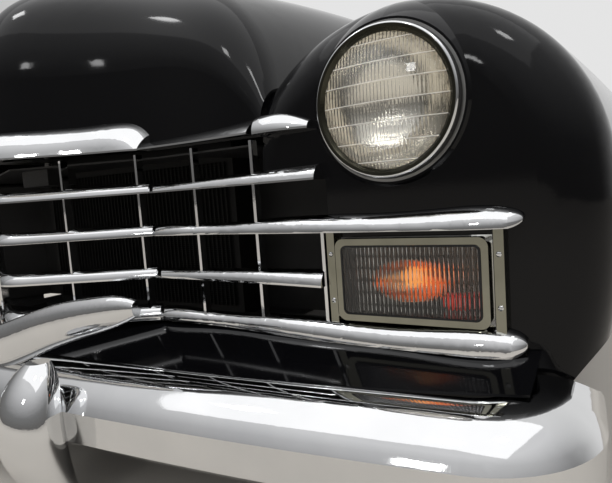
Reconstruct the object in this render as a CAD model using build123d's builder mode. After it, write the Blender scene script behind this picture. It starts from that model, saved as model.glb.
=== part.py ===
from build123d import *
import math
import os

os.makedirs("parts", exist_ok=True)

# Front end of a 1950s saloon, from the bumper back to the cowl, in millimetres.
# X to the car's left, Y to the rear, Z up. The origin is midway between the four bolt
# holes in the undersides of the frame rails.

# Datum: the centre of a headlamp, at the front plane of its ring
LAMP_X = 700
LAMP_Y = -700
LAMP_Z = 450
FACE_Y = LAMP_Y + 8
COWL_Y = LAMP_Y + 1250
SHEET = 3
SEAM_GAP = 6
OVERRUN = 20
# longer than any piece is tall: the height of blocks that only cut or trim
TRIM_HEIGHT = 900

# Hood
HOOD_HALF = 486
HOOD_LIP_Z = LAMP_Z - 20
HOOD_NOSE_TURN = 80
HINGE_Y = COWL_Y - 30
HINGE_Z = LAMP_Z + 20
HINGE_PIN_R = 8
HINGE_EYE_R = 18
HINGE_GAP = 0.3
HINGE_PLATE_SIZE = 60
HINGE_PLATE = 6
HINGE_ARM = 8
HINGE_ARM_GAP = 2
BRACE_PLACES = (LAMP_Y + 90, LAMP_Y + 640, COWL_Y - 30)
BRACE_WIDTH = 46
BRACE_DEPTH = 15
LATCH_Y = LAMP_Y - 20
LATCH_WIDTH = 80
LATCH_DEPTH = 60
LATCH_HEIGHT = 30
STRIKER_R = 6
STRIKER_GAP = 6
STRIKER_REACH = 18
STRIKER_SHELF = 6
STRIKER_WIDTH = 60

# Fenders
FENDER_IN = HOOD_HALF + SEAM_GAP
FENDER_NOSE_R = 80
GRILLE_HALF = 600
GRILLE_LEDGE_Z = LAMP_Z - 93
FENDER_FOOT_Z = LAMP_Z - 470
ARCH_Y = LAMP_Y + 640
ARCH_Z = LAMP_Z - 430
ARCH_R = 350
BULGE_FRONT_R = 107
BULGE_BACK_R = 146
BULGE_DEPTH = 86
BULGE_SAG = 16
BULGE_SETBACK = 4

# Grille
PROW_Y = LAMP_Y - 150
VALLEY_X = 262
TOP_BAR_DEPTH = 70
TOP_WING_END = 484
END_PIECE_TIP = 584
VALLEY_Y = LAMP_Y - 14
PROW_R = 90
UPRIGHT_PITCH = 120
UPRIGHT_WIDTH = 5
UPRIGHT_DEPTH = 14
UPRIGHT_SETBACK = 9
UPRIGHT_STEPS = 5
UPRIGHT_FOOT_Z = LAMP_Z - 310
UPRIGHT_END_TOP_Z = LAMP_Z - 167
BAR_LIP = 3
BAR_CROWN_PLACE = 0.36
BAR_CROWN_RISE = 0.82
BAR_CENTRE_SHARE = 0.85
BAR_CENTRE_DEPTH = 24

# Lamps
RING_R = 98.5
RING_STAND = 10
LENS_R = 92
LENS_CROWN = 14
GLASS = 4
BOWL_DEPTH = 62
BOWL_WALL = 2
BUCKET_R = 96
BUCKET_WALL = 2
BUCKET_GAP = 0.2
BUCKET_DEPTH = 105
PARK_IN = GRILLE_HALF + 18
PARK_OUT = PARK_IN + 208
PARK_TOP = LAMP_Z - 178
PARK_FOOT = LAMP_Z - 292
PARK_FRAME = 9
PARK_DEPTH = 70
PARK_CORNER = 12
PARK_LENS_CORNER = 8
PARK_GAP = 1
PARK_STAND = 12
STRIP_IN = GRILLE_HALF + 8
STRIP_OUT = PARK_OUT + 11
STRIP_WIDTH = 12
STRIP_STAND = 6
STRIP_RUN = 14
BULB_R = 15
BULB_NECK_R = 8
BULB_STEM = 22

# Bumper
BUMPER_CREST_Z = LAMP_Z - 390
BUMPER_FRONT_Y = LAMP_Y - 243
BUMPER_KNEE_X = 830
BUMPER_KNEE_Y = LAMP_Y - 182
BUMPER_SIDE_X = 950
BUMPER_SIDE_Y = LAMP_Y - 30
BUMPER_TAIL = 100
BUMPER_SHEET = 5
BUMPER_REACH = 92
BUMPER_TOP = 42
BUMPER_BAND = 44
BUMPER_UNDER = 12
BUMPER_UNDER_DROP = 9.6
BUMPER_CROWN_PLACE = 0.38
BUMPER_CROWN_RISE = 0.86
WALL_AT_UNDER = 0.6
WALL_AT_CREST = 0.4
WALL_AT_CROWN = 0.7
SKIRT_GAP = 10
GUARD_X = 250

# Frame
RAIL_X = 380
RAIL_WIDTH = 70
RAIL_HEIGHT = 100
RAIL_WALL = 5
RAIL_FRONT_Y = LAMP_Y - 40
MOUNT_SPACING_Y = 200
MOUNT_HOLE_R = 8.5
CROSS_Y = LAMP_Y + 215
CROSS_WIDTH = 110
CROSS_HEIGHT = RAIL_HEIGHT
BRACKET_THICK = 10
BRACKET_DROP = 6

# Splash panel
SPLASH_HALF = BUMPER_SIDE_X - 70
SPLASH_LEAD = 30
SPLASH_CLEAR = 2
SPLASH_BACK_Z = LAMP_Z - 318
SPLASH_FRONT_Z = LAMP_Z - 372

# Radiator and inner panels
CORE_WIDTH = 600
CORE_HEIGHT = 330
CORE_DEPTH = 80
TANK_HEIGHT = 50
APRON_FLANGE = 22
HINGE_REACH = 40
BRACE_REACH = 30
SUPPORT_HALF = FENDER_IN - APRON_FLANGE
HINGE_X = SUPPORT_HALF - HINGE_REACH
BRACE_HALF = HINGE_X + BRACE_REACH
SUPPORT_TOP = LAMP_Z + 10
SUPPORT_LAP = 20
BAFFLE_LAP = 8
LOCK_PLATE_Z = LAMP_Z - 34
LOCK_PLATE_SETBACK = 28
LOCK_WINDOW_DEPTH = 120
LOCK_WINDOW_SHIFT = 30
APRON_TOP_Z = LAMP_Z - 38
APRON_ARCH_GAP = 90


def curve_y(x):
    """Front edge of the grille bars in plan, at a distance x from the centreline."""
    x = abs(x)
    if x >= VALLEY_X:
        return VALLEY_Y
    return PROW_Y + (VALLEY_Y - PROW_Y) * x / VALLEY_X


def bar_section(front, bottom, height, depth):
    """Flat below and behind, with a thin lip in front and one broad arc over the top."""
    with BuildLine() as outline:
        Polyline(
            (front, bottom + BAR_LIP),
            (front, bottom),
            (front + depth, bottom),
            (front + depth, bottom + height),
        )
        ThreePointArc(
            (front + depth, bottom + height),
            (front + depth * BAR_CROWN_PLACE, bottom + height * BAR_CROWN_RISE),
            (front, bottom + BAR_LIP),
        )
    make_face(outline.edges())


# Hood: one shell, lofted across the car through side profiles. The columns are the
# distance from the centreline, the nose's and the cowl's places, and the nose radius.
HOOD_PROFILES = [
    # x, nose y, straight front, nose radius, cowl height
    (0, PROW_Y + 24, 140, 196, 392),
    (130, LAMP_Y - 58, 140, 190, 388),
    (VALLEY_X, LAMP_Y + 6, 140, 176, 372),
    (345, LAMP_Y + 13, 128, 152, 352),
    (420, LAMP_Y + 16, 92, 120, 312),
    (HOOD_HALF, LAMP_Y + 18, 14, 66, 190),
]
HOOD_PROFILES = [(-row[0], *row[1:]) for row in HOOD_PROFILES[:0:-1]] + HOOD_PROFILES


def hood_section(nose_y, straight, radius, cowl_rise, inset, overrun):
    """Side profile: an upright lip, the nose arc and one long arc back to the cowl."""
    foot = HOOD_LIP_Z - overrun
    shoulder = HOOD_LIP_Z + straight
    turn = math.radians(HOOD_NOSE_TURN)
    nose = (nose_y + inset, shoulder)
    brow = (
        nose_y + radius - (radius - inset) * math.cos(turn),
        shoulder + (radius - inset) * math.sin(turn),
    )
    cowl = (COWL_Y + overrun, LAMP_Z + cowl_rise - inset)
    with BuildLine() as outline:
        Polyline(cowl, (COWL_Y + overrun, foot), (nose_y + inset, foot), nose)
        ThreePointArc(
            nose,
            (
                nose_y + radius - (radius - inset) * math.cos(turn / 2),
                shoulder + (radius - inset) * math.sin(turn / 2),
            ),
            brow,
        )
        TangentArc(brow, cowl, tangent=(math.sin(turn), math.cos(turn)))
    make_face(outline.edges())


def hood_loft(inset, overrun):
    """The hood as a block, drawn in on all sides by the inset."""
    with BuildPart() as block:
        for x, nose_y, straight, radius, rise in HOOD_PROFILES:
            with BuildSketch(Plane.YZ.offset(x * (HOOD_HALF - inset) / HOOD_HALF)):
                hood_section(nose_y, straight, radius, rise, inset, overrun)
        loft()
    return block.part


hood_cavity = hood_loft(SHEET, OVERRUN)
with BuildPart() as hood_panel:
    add(hood_loft(0, 0))
    add(hood_cavity, mode=Mode.SUBTRACT)
hood_panel.part.label = "hood_panel"

# Brace under the hood: three cross ribs and a spine that follow its inner face
with BuildPart() as hood_brace:
    for y in BRACE_PLACES:
        with Locations((0, y, LAMP_Z)):
            Box(2 * BRACE_HALF, BRACE_WIDTH, TRIM_HEIGHT)
    with Locations((0, (BRACE_PLACES[0] + BRACE_PLACES[-1]) / 2, LAMP_Z)):
        Box(BRACE_WIDTH, BRACE_PLACES[-1] - BRACE_PLACES[0], TRIM_HEIGHT)
    add(hood_cavity, mode=Mode.INTERSECT)
    add(hood_loft(SHEET + BRACE_DEPTH, 2 * OVERRUN), mode=Mode.SUBTRACT)
hood_brace.part.label = "hood_brace"
export_step(hood_brace.part, "parts/hood_brace.step")


# Fenders: a lofted shell with a rounded nose, the lamp's bulge and the wheel arch
FENDER_STATIONS = [
    # y, seam height, crown x, crown height, side x, side height, foot x
    (FACE_Y, 46, LAMP_X, 140, 952, -80, 885),
    (LAMP_Y + 560, 104, LAMP_X + 12, 158, 982, -80, 935),
    (COWL_Y, 126, LAMP_X + 20, 175, 1000, -80, 965),
]


def fender_section(seam, crown_x, crown, side_x, side, foot_x, inset, overrun):
    """Front profile: crown arcs either side of the highest point, side and foot."""
    # the inset arc keeps the outer one's centre and runs on past the seam
    width, drop = crown_x - FENDER_IN, crown - seam
    crown_r = (width**2 + drop**2) / (2 * drop)
    inner = FENDER_IN - overrun
    fall = crown_r - math.sqrt((crown_r - inset) ** 2 - (crown_x - inner) ** 2)
    seam_point = (inner, LAMP_Z + crown - fall)
    crown_point = (crown_x, LAMP_Z + crown - inset)
    side_point = (side_x - inset, LAMP_Z + side)
    foot_z = FENDER_FOOT_Z - overrun
    with BuildLine() as outline:
        TangentArc(crown_point, seam_point, tangent=(-1, 0))
        outer = TangentArc(crown_point, side_point, tangent=(1, 0))
        TangentArc(side_point, (foot_x - inset, foot_z), tangent=outer % 1)
        Polyline((foot_x - inset, foot_z), (inner, foot_z), seam_point)
    make_face(outline.edges())


def fender_loft(inset, overrun):
    """The fender as a block, its nose rounded along the crown and the side."""
    with BuildPart() as block:
        for y, seam, crown_x, crown, side_x, side, foot_x in FENDER_STATIONS:
            front = inset if y == FACE_Y else overrun if y == COWL_Y else 0
            with BuildSketch(Plane.XZ.offset(-y - front)):
                fender_section(seam, crown_x, crown, side_x, side, foot_x, inset, overrun)
        loft()
        nose = block.faces().sort_by(Axis.Y)[0].edges()
        fillet([edge for edge in nose if (edge % 0).dot(edge % 1) < 0.999], FENDER_NOSE_R - inset)
    return block.part


def bulge(inset, overrun):
    """The flared collar behind the headlamp ring, about the lamp's axis."""
    with BuildPart() as collar:
        with BuildSketch(Plane.YZ.offset(LAMP_X)):
            with BuildLine() as outline:
                front = LAMP_Y + BULGE_SETBACK
                Polyline(
                    *([(front, LAMP_Z + BULGE_FRONT_R - inset)] if overrun else []),
                    (front - overrun, LAMP_Z + BULGE_FRONT_R - inset),
                    (front - overrun, LAMP_Z),
                    (LAMP_Y + BULGE_DEPTH, LAMP_Z),
                    (LAMP_Y + BULGE_DEPTH, LAMP_Z + BULGE_BACK_R - inset),
                )
                ThreePointArc(
                    (LAMP_Y + BULGE_DEPTH, LAMP_Z + BULGE_BACK_R - inset),
                    (LAMP_Y + BULGE_DEPTH * 0.45, LAMP_Z + BULGE_BACK_R - BULGE_SAG - inset),
                    (front, LAMP_Z + BULGE_FRONT_R - inset),
                )
            make_face(outline.edges())
        revolve(axis=Axis((LAMP_X, 0, LAMP_Z), (0, 1, 0)))
    return collar.part


fender_block = fender_loft(0, 0)
# the wall that drops from the seam to the apron's flange
with BuildPart() as seam_wall:
    add(fender_block)
    with Locations((FENDER_IN, FACE_Y + FENDER_NOSE_R, APRON_TOP_Z)):
        Box(
            SHEET,
            COWL_Y - FACE_Y - FENDER_NOSE_R,
            LAMP_Z,
            align=(Align.MIN, Align.MIN, Align.MIN),
            mode=Mode.INTERSECT,
        )

with BuildPart() as fender_left:
    add(fender_block)
    add(bulge(0, 0))
    add(fender_loft(SHEET, OVERRUN), mode=Mode.SUBTRACT)
    add(bulge(SHEET, OVERRUN), mode=Mode.SUBTRACT)
    add(seam_wall.part)
    # the grille's opening, below the ledge that carries the second bar's end
    with Locations((FENDER_IN, FACE_Y, GRILLE_LEDGE_Z)):
        Box(
            GRILLE_HALF - FENDER_IN,
            FENDER_NOSE_R,
            TRIM_HEIGHT,
            align=(Align.MIN, Align.CENTER, Align.MAX),
            mode=Mode.SUBTRACT,
        )
    with Locations((PARK_IN - PARK_GAP, FACE_Y, PARK_FOOT - PARK_GAP)):
        Box(
            PARK_OUT - PARK_IN + 2 * PARK_GAP,
            FENDER_NOSE_R,
            PARK_TOP - PARK_FOOT + 2 * PARK_GAP,
            align=(Align.MIN, Align.CENTER, Align.MIN),
            mode=Mode.SUBTRACT,
        )
    # the wheel arch
    with BuildSketch(Plane.YZ.offset(GRILLE_HALF)):
        with Locations((ARCH_Y, ARCH_Z)):
            Circle(ARCH_R)
    extrude(amount=TRIM_HEIGHT, mode=Mode.SUBTRACT)
fender_right = mirror(fender_left.part, about=Plane.YZ)
fender_left.part.label = "fender_left"
fender_right.label = "fender_right"
export_step(hood_panel.part, "parts/hood_panel.step")
export_step(fender_left.part, "parts/fender_left.step")
export_step(fender_right, "parts/fender_right.step")

# Grille bars. The outer halves are lofted through these stations.
BAR_STATIONS = [
    # x, front y, share of the full height
    (VALLEY_X - 14, VALLEY_Y + 6, 0.62),
    (360, LAMP_Y - 9, 0.72),
    (480, LAMP_Y - 13, 0.86),
    (GRILLE_HALF - 4, LAMP_Y - 20, 1.0),
]
BAR_TIP_STATIONS = [
    (740, LAMP_Y - 24, 1.0),
    (836, LAMP_Y - 22, 1.05),
    (866, LAMP_Y - 10, 0.7),
]
# The columns are the name, the undersides at the centre and outboard, the height and
# whether the bar runs on round the parking lamp.
BARS = [
    ("grille_bar_2", -93, -93, 22, False),
    ("grille_bar_3", -167, -168, 24, True),
    ("grille_bar_4", -241, -246, 24, False),
    ("grille_bar_5", -315, -324, 30, True),
]


def prow_line(setback, half_width):
    """The bow of the grille in plan, two flanks joined by an arc at the centre."""
    nose = PROW_Y + setback
    back = nose + (VALLEY_Y - PROW_Y) * half_width / VALLEY_X
    with BuildLine() as path:
        FilletPolyline((-half_width, back), (0, nose), (half_width, back), radius=PROW_R)
    return path


bars = {}
for name, bottom, outer_bottom, height, long in BARS:
    with BuildPart() as bar:
        path = prow_line(0, VALLEY_X).line.moved(Location((0, 0, LAMP_Z + bottom)))
        start = Plane(origin=path @ 0, x_dir=(-(path % 0).Y, (path % 0).X, 0), z_dir=path % 0)
        with BuildSketch(start):
            bar_section(0, 0, height * BAR_CENTRE_SHARE, BAR_CENTRE_DEPTH)
        sweep(path=path)
        for side in (-1, 1):
            for x, front, share in BAR_STATIONS + (BAR_TIP_STATIONS if long else []):
                run = min(max((x - VALLEY_X) / (GRILLE_HALF - VALLEY_X), 0), 1)
                foot = LAMP_Z + bottom + (outer_bottom - bottom) * run
                with BuildSketch(Plane.YZ.offset(side * x)):
                    bar_section(front, foot, height * share, FACE_Y - front)
            loft()
    bar.part.label = name
    bars[name] = bar.part
    export_step(bar.part, f"parts/{name}.step")

# Top bar: a deep dished moulding over the prow and a slimmer wing to each side, cut at
# a slant where the hood ends. It is shaped to the hood's face behind.
TOP_CENTRE_STATIONS = [
    # x, front y, height
    (0, PROW_Y - 16, 52),
    (130, LAMP_Y - 100, 51),
    (VALLEY_X - 20, LAMP_Y - 38, 44),
    (VALLEY_X - 4, LAMP_Y - 26, 30),
]
TOP_WING_STATIONS = [
    (VALLEY_X - 34, LAMP_Y - 18, 16),
    (370, LAMP_Y - 12, 20),
    (TOP_WING_END, LAMP_Y - 18, 27),
]
TOP_CENTRE_STATIONS = [(-x, y, h) for x, y, h in TOP_CENTRE_STATIONS[:0:-1]] + TOP_CENTRE_STATIONS

with BuildPart() as grille_top_bar:
    for x, front, height in TOP_CENTRE_STATIONS:
        with BuildSketch(Plane.YZ.offset(x)):
            bar_section(front, HOOD_LIP_Z, height, TOP_BAR_DEPTH)
    loft()
    for side in (-1, 1):
        for x, front, height in TOP_WING_STATIONS:
            with BuildSketch(Plane.YZ.offset(side * x)):
                bar_section(front, HOOD_LIP_Z + 2, height, TOP_BAR_DEPTH)
        loft()
    add(hood_panel.part, mode=Mode.SUBTRACT)
    add(hood_cavity, mode=Mode.SUBTRACT)
grille_top_bar.part.label = "grille_top_bar"
export_step(grille_top_bar.part, "parts/grille_top_bar.step")

# The end piece that carries the top bar's line on to the fender
END_PIECE_STATIONS = [
    (FENDER_IN + 4, LAMP_Y - 20, 27),
    (540, LAMP_Y - 22, 26),
    (END_PIECE_TIP, LAMP_Y - 8, 12),
]
for side, name in ((1, "left"), (-1, "right")):
    with BuildPart() as end_piece:
        for x, front, height in END_PIECE_STATIONS:
            with BuildSketch(Plane.YZ.offset(side * x)):
                bar_section(front, HOOD_LIP_Z, height, FACE_Y - front)
        loft()
        add(fender_left.part if side > 0 else fender_right, mode=Mode.SUBTRACT)
    end_piece.part.label = f"grille_end_{name}"
    export_step(end_piece.part, f"parts/grille_end_{name}.step")

# Uprights: thin blades set back between the bars, at an even pitch
with BuildPart() as grille_uprights:
    for step in range(-UPRIGHT_STEPS, UPRIGHT_STEPS + 1):
        # the last one on each side stands under the third bar, inside the opening's edge
        last = abs(step) == UPRIGHT_STEPS
        x = step * UPRIGHT_PITCH
        edge = math.copysign(GRILLE_HALF - UPRIGHT_WIDTH, x)
        top = UPRIGHT_END_TOP_Z if last else HOOD_LIP_Z - SEAM_GAP
        with Locations((edge if last else x, curve_y(x) + UPRIGHT_SETBACK, top)):
            Box(
                UPRIGHT_WIDTH,
                UPRIGHT_DEPTH,
                top - UPRIGHT_FOOT_Z,
                align=(Align.CENTER, Align.MIN, Align.MAX),
            )
    for bar in bars.values():
        add(bar, mode=Mode.SUBTRACT)
grille_uprights.part.label = "grille_uprights"
export_step(grille_uprights.part, "parts/grille_uprights.step")

# Headlamps: ring, sealed lens, reflector and the bucket behind
for side, name in ((1, "left"), (-1, "right")):
    axis = Axis((side * LAMP_X, 0, LAMP_Z), (0, 1, 0))
    section = Plane.YZ.offset(side * LAMP_X)
    ring_back = LAMP_Y + BULGE_SETBACK
    rim = LAMP_Y - 2
    with BuildPart() as headlamp_ring:
        with BuildSketch(section):
            with BuildLine() as outline:
                Polyline(
                    (LAMP_Y - RING_STAND / 2, LAMP_Z + RING_R),
                    (ring_back, LAMP_Z + RING_R),
                    (ring_back, LAMP_Z + LENS_R),
                    (LAMP_Y - RING_STAND * 0.8, LAMP_Z + LENS_R),
                )
                ThreePointArc(
                    (LAMP_Y - RING_STAND * 0.8, LAMP_Z + LENS_R),
                    (LAMP_Y - RING_STAND, LAMP_Z + LENS_R + (RING_R - LENS_R) * 0.4),
                    (LAMP_Y - RING_STAND / 2, LAMP_Z + RING_R),
                )
            make_face(outline.edges())
        revolve(axis=axis)
    with BuildPart() as headlamp_lens:
        with BuildSketch(section):
            with BuildLine() as outline:
                TangentArc((rim - LENS_CROWN, LAMP_Z), (rim, LAMP_Z + LENS_R), tangent=(0, 1))
                Line((rim, LAMP_Z + LENS_R), (rim + GLASS, LAMP_Z + LENS_R))
                TangentArc(
                    (rim - LENS_CROWN + GLASS, LAMP_Z), (rim + GLASS, LAMP_Z + LENS_R), tangent=(0, 1)
                )
                Line((rim - LENS_CROWN, LAMP_Z), (rim - LENS_CROWN + GLASS, LAMP_Z))
            make_face(outline.edges())
        revolve(axis=axis)
    with BuildPart() as headlamp_reflector:
        with BuildSketch(section):
            with BuildLine() as outline:
                mouth = rim + GLASS
                TangentArc(
                    (mouth + BOWL_DEPTH, LAMP_Z), (mouth, LAMP_Z + LENS_R - BOWL_WALL), tangent=(0, 1)
                )
                Line((mouth, LAMP_Z + LENS_R - BOWL_WALL), (mouth, LAMP_Z + LENS_R))
                TangentArc(
                    (mouth + BOWL_DEPTH + BOWL_WALL, LAMP_Z), (mouth, LAMP_Z + LENS_R), tangent=(0, 1)
                )
                Line((mouth + BOWL_DEPTH, LAMP_Z), (mouth + BOWL_DEPTH + BOWL_WALL, LAMP_Z))
            make_face(outline.edges())
        revolve(axis=axis)
    with BuildPart() as headlamp_bucket:
        with BuildSketch(Plane.XZ.offset(-ring_back)):
            with Locations((side * LAMP_X, LAMP_Z)):
                Circle(BULGE_FRONT_R - SHEET - BUCKET_GAP)
                Circle(BUCKET_R - BUCKET_WALL, mode=Mode.SUBTRACT)
        extrude(amount=-BUCKET_WALL)
        with BuildSketch(Plane.XZ.offset(-ring_back)):
            with Locations((side * LAMP_X, LAMP_Z)):
                Circle(BUCKET_R)
                Circle(BUCKET_R - BUCKET_WALL, mode=Mode.SUBTRACT)
        extrude(amount=-BUCKET_DEPTH)
        with BuildSketch(Plane.XZ.offset(-ring_back - BUCKET_DEPTH)):
            with Locations((side * LAMP_X, LAMP_Z)):
                Circle(BUCKET_R)
        extrude(amount=-BUCKET_WALL)
    for piece, label in (
        (headlamp_ring, "headlamp_ring"),
        (headlamp_lens, "headlamp_lens"),
        (headlamp_reflector, "headlamp_reflector"),
        (headlamp_bucket, "headlamp_bucket"),
    ):
        piece.part.label = f"{label}_{name}"
        export_step(piece.part, f"parts/{label}_{name}.step")

# Parking lamps: a rounded box let into the fender, a lens, a bulb and two strips
for side, name in ((1, "left"), (-1, "right")):
    park_x = side * (PARK_IN + PARK_OUT) / 2
    park_z = (PARK_TOP + PARK_FOOT) / 2
    park_width = PARK_OUT - PARK_IN
    park_height = PARK_TOP - PARK_FOOT
    frame_front = LAMP_Y - PARK_STAND
    with BuildPart() as parking_lamp_frame:
        with BuildSketch(Plane.XZ.offset(-frame_front)):
            with Locations((park_x, park_z)):
                RectangleRounded(park_width, park_height, PARK_CORNER)
        extrude(amount=-PARK_DEPTH)
        with BuildSketch(Plane.XZ.offset(-frame_front)):
            with Locations((park_x, park_z)):
                RectangleRounded(
                    park_width - 2 * PARK_FRAME, park_height - 2 * PARK_FRAME, PARK_LENS_CORNER
                )
        extrude(amount=-PARK_DEPTH + SHEET, mode=Mode.SUBTRACT)
        # the strips on either side run from the third bar down to the fifth
        for strip_x in (side * STRIP_IN, side * STRIP_OUT):
            with Locations((strip_x, FACE_Y, PARK_TOP + STRIP_RUN)):
                Box(
                    STRIP_WIDTH,
                    FACE_Y - LAMP_Y + STRIP_STAND,
                    park_height + 2 * STRIP_RUN,
                    align=(Align.CENTER, Align.MAX, Align.MAX),
                )
        for bar in bars.values():
            add(bar, mode=Mode.SUBTRACT)
        add(fender_left.part if side > 0 else fender_right, mode=Mode.SUBTRACT)
    with BuildPart() as parking_lamp_lens:
        with BuildSketch(Plane.XZ.offset(-frame_front + 1)):
            with Locations((park_x, park_z)):
                RectangleRounded(
                    park_width - 2 * PARK_FRAME, park_height - 2 * PARK_FRAME, PARK_LENS_CORNER
                )
        extrude(amount=-GLASS)
    with BuildPart() as parking_lamp_bulb:
        with BuildSketch(Plane.XZ.offset(-frame_front - PARK_DEPTH + SHEET)):
            with Locations((park_x, park_z)):
                Circle(BULB_NECK_R)
        extrude(amount=BULB_STEM)
        with Locations((park_x, frame_front + PARK_DEPTH - SHEET - BULB_STEM - BULB_R / 2, park_z)):
            Sphere(BULB_R)
    for piece, label in (
        (parking_lamp_frame, "parking_lamp_frame"),
        (parking_lamp_lens, "parking_lamp_lens"),
        (parking_lamp_bulb, "parking_lamp_bulb"),
    ):
        piece.part.label = f"{label}_{name}"
        export_step(piece.part, f"parts/{label}_{name}.step")


def bumper_section(inset):
    """The bumper's face: an arched top, the crest and a low band turned under."""
    top = (BUMPER_REACH, BUMPER_TOP)
    crown = (BUMPER_REACH * BUMPER_CROWN_PLACE, BUMPER_TOP * BUMPER_CROWN_RISE)
    band = (2, -BUMPER_BAND)
    under = (BUMPER_UNDER, -BUMPER_BAND - BUMPER_UNDER_DROP)
    with BuildLine() as outline:
        ThreePointArc(top, crown, (0, 0))
        Line((0, 0), band)
        Line(band, under)
        if inset:
            inner_under = (under[0] + inset, under[1] + inset * WALL_AT_UNDER)
            inner_band = (band[0] + inset, band[1] + inset * WALL_AT_CREST)
            inner_crest = (inset, -inset * WALL_AT_CREST)
            inner_crown = (crown[0] + inset * WALL_AT_CROWN, crown[1] - inset * WALL_AT_CROWN)
            inner_top = (top[0], top[1] - inset)
            Polyline(under, inner_under, inner_band, inner_crest)
            ThreePointArc(inner_crest, inner_crown, inner_top)
            Line(inner_top, top)
        else:
            Line(under, (top[0], under[1]))
            Line((top[0], under[1]), top)
    make_face(outline.edges())


def bumper_sweep(inset):
    """The bumper along its plan, one long bow, a turned corner and a straight tail."""
    with BuildLine(Plane.XY.offset(BUMPER_CREST_Z)) as half:
        bow = ThreePointArc(
            (0, BUMPER_FRONT_Y),
            (BUMPER_KNEE_X / 2, BUMPER_FRONT_Y + (BUMPER_KNEE_Y - BUMPER_FRONT_Y) / 4),
            (BUMPER_KNEE_X, BUMPER_KNEE_Y),
        )
        corner = TangentArc(bow @ 1, (BUMPER_SIDE_X, BUMPER_SIDE_Y), tangent=bow % 1)
        Line(corner @ 1, corner @ 1 + (corner % 1) * BUMPER_TAIL)
    with BuildPart() as body:
        with BuildSketch(Plane((0, BUMPER_FRONT_Y, BUMPER_CREST_Z), x_dir=(0, 1, 0), z_dir=(1, 0, 0))):
            bumper_section(inset)
        sweep(path=half.line)
        mirror(about=Plane.YZ)
    return body.part


bumper_block = bumper_sweep(0)
with BuildPart() as bumper_face_bar:
    add(bumper_sweep(BUMPER_SHEET))
    # its upper edge is trimmed to run round the fender's corner at a gap
    add(fender_loft(-SKIRT_GAP, 0), mode=Mode.SUBTRACT)
    add(mirror(fender_loft(-SKIRT_GAP, 0), about=Plane.YZ), mode=Mode.SUBTRACT)
bumper_face_bar.part.label = "bumper_face_bar"
export_step(bumper_face_bar.part, "parts/bumper_face_bar.step")

# Centre wing: an arched bar over the bumper, deep at the middle, rounded at its tips
WING_STATIONS = [
    # x, centre y, centre height, half depth, half height
    (0, LAMP_Y - 196, -340, 22, 40),
    (120, LAMP_Y - 194, -318, 21, 38),
    (250, LAMP_Y - 186, -278, 18, 31),
    (350, LAMP_Y - 174, -258, 14, 22),
    (384, LAMP_Y - 168, -254, 8, 11),
]
WING_STATIONS = [(-row[0], *row[1:]) for row in WING_STATIONS[:0:-1]] + WING_STATIONS
with BuildPart() as bumper_wing:
    for x, y, z, depth, height in WING_STATIONS:
        with BuildSketch(Plane.YZ.offset(x)):
            with Locations((y, LAMP_Z + z)):
                Ellipse(depth, height)
    loft()
    add(bumper_block, mode=Mode.SUBTRACT)
bumper_wing.part.label = "bumper_wing"
export_step(bumper_wing.part, "parts/bumper_wing.step")

# Guards: an upright horn in front of the bumper on each side of the middle
GUARD_STATIONS = [
    # height, centre y, half width, half depth
    (-530, LAMP_Y - 236, 52, 26),
    (-450, LAMP_Y - 258, 56, 38),
    (-380, LAMP_Y - 258, 48, 40),
    (-340, LAMP_Y - 246, 34, 28),
    (-322, LAMP_Y - 238, 18, 16),
]
for side, name in ((1, "left"), (-1, "right")):
    with BuildPart() as guard:
        for z, y, width, depth in GUARD_STATIONS:
            with BuildSketch(Plane.XY.offset(LAMP_Z + z)):
                with Locations((side * GUARD_X, y)):
                    Ellipse(width, depth)
        loft()
        add(bumper_block, mode=Mode.SUBTRACT)
    guard.part.label = f"bumper_guard_{name}"
    export_step(guard.part, f"parts/bumper_guard_{name}.step")

# Frame: two box rails and a front cross member, with the four mount holes beneath
with BuildPart() as frame_rails:
    for side in (-1, 1):
        with BuildSketch(Plane.XZ.offset(-RAIL_FRONT_Y)):
            with Locations((side * RAIL_X, RAIL_HEIGHT / 2)):
                Rectangle(RAIL_WIDTH, RAIL_HEIGHT)
                Rectangle(RAIL_WIDTH - 2 * RAIL_WALL, RAIL_HEIGHT - 2 * RAIL_WALL, mode=Mode.SUBTRACT)
        extrude(amount=RAIL_FRONT_Y - COWL_Y)
    with BuildSketch(Plane.YZ.offset(-RAIL_X + RAIL_WIDTH / 2)):
        with Locations((CROSS_Y, CROSS_HEIGHT / 2)):
            Rectangle(CROSS_WIDTH, CROSS_HEIGHT)
            Rectangle(CROSS_WIDTH - 2 * RAIL_WALL, CROSS_HEIGHT - 2 * RAIL_WALL, mode=Mode.SUBTRACT)
    extrude(amount=2 * RAIL_X - RAIL_WIDTH)
    with Locations(Plane.XY.offset(0)):
        with GridLocations(2 * RAIL_X, MOUNT_SPACING_Y, 2, 2):
            Cylinder(MOUNT_HOLE_R, 2 * RAIL_WALL, mode=Mode.SUBTRACT)
frame_rails.part.label = "frame_rails"
export_step(frame_rails.part, "parts/frame_rails.step")

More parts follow.
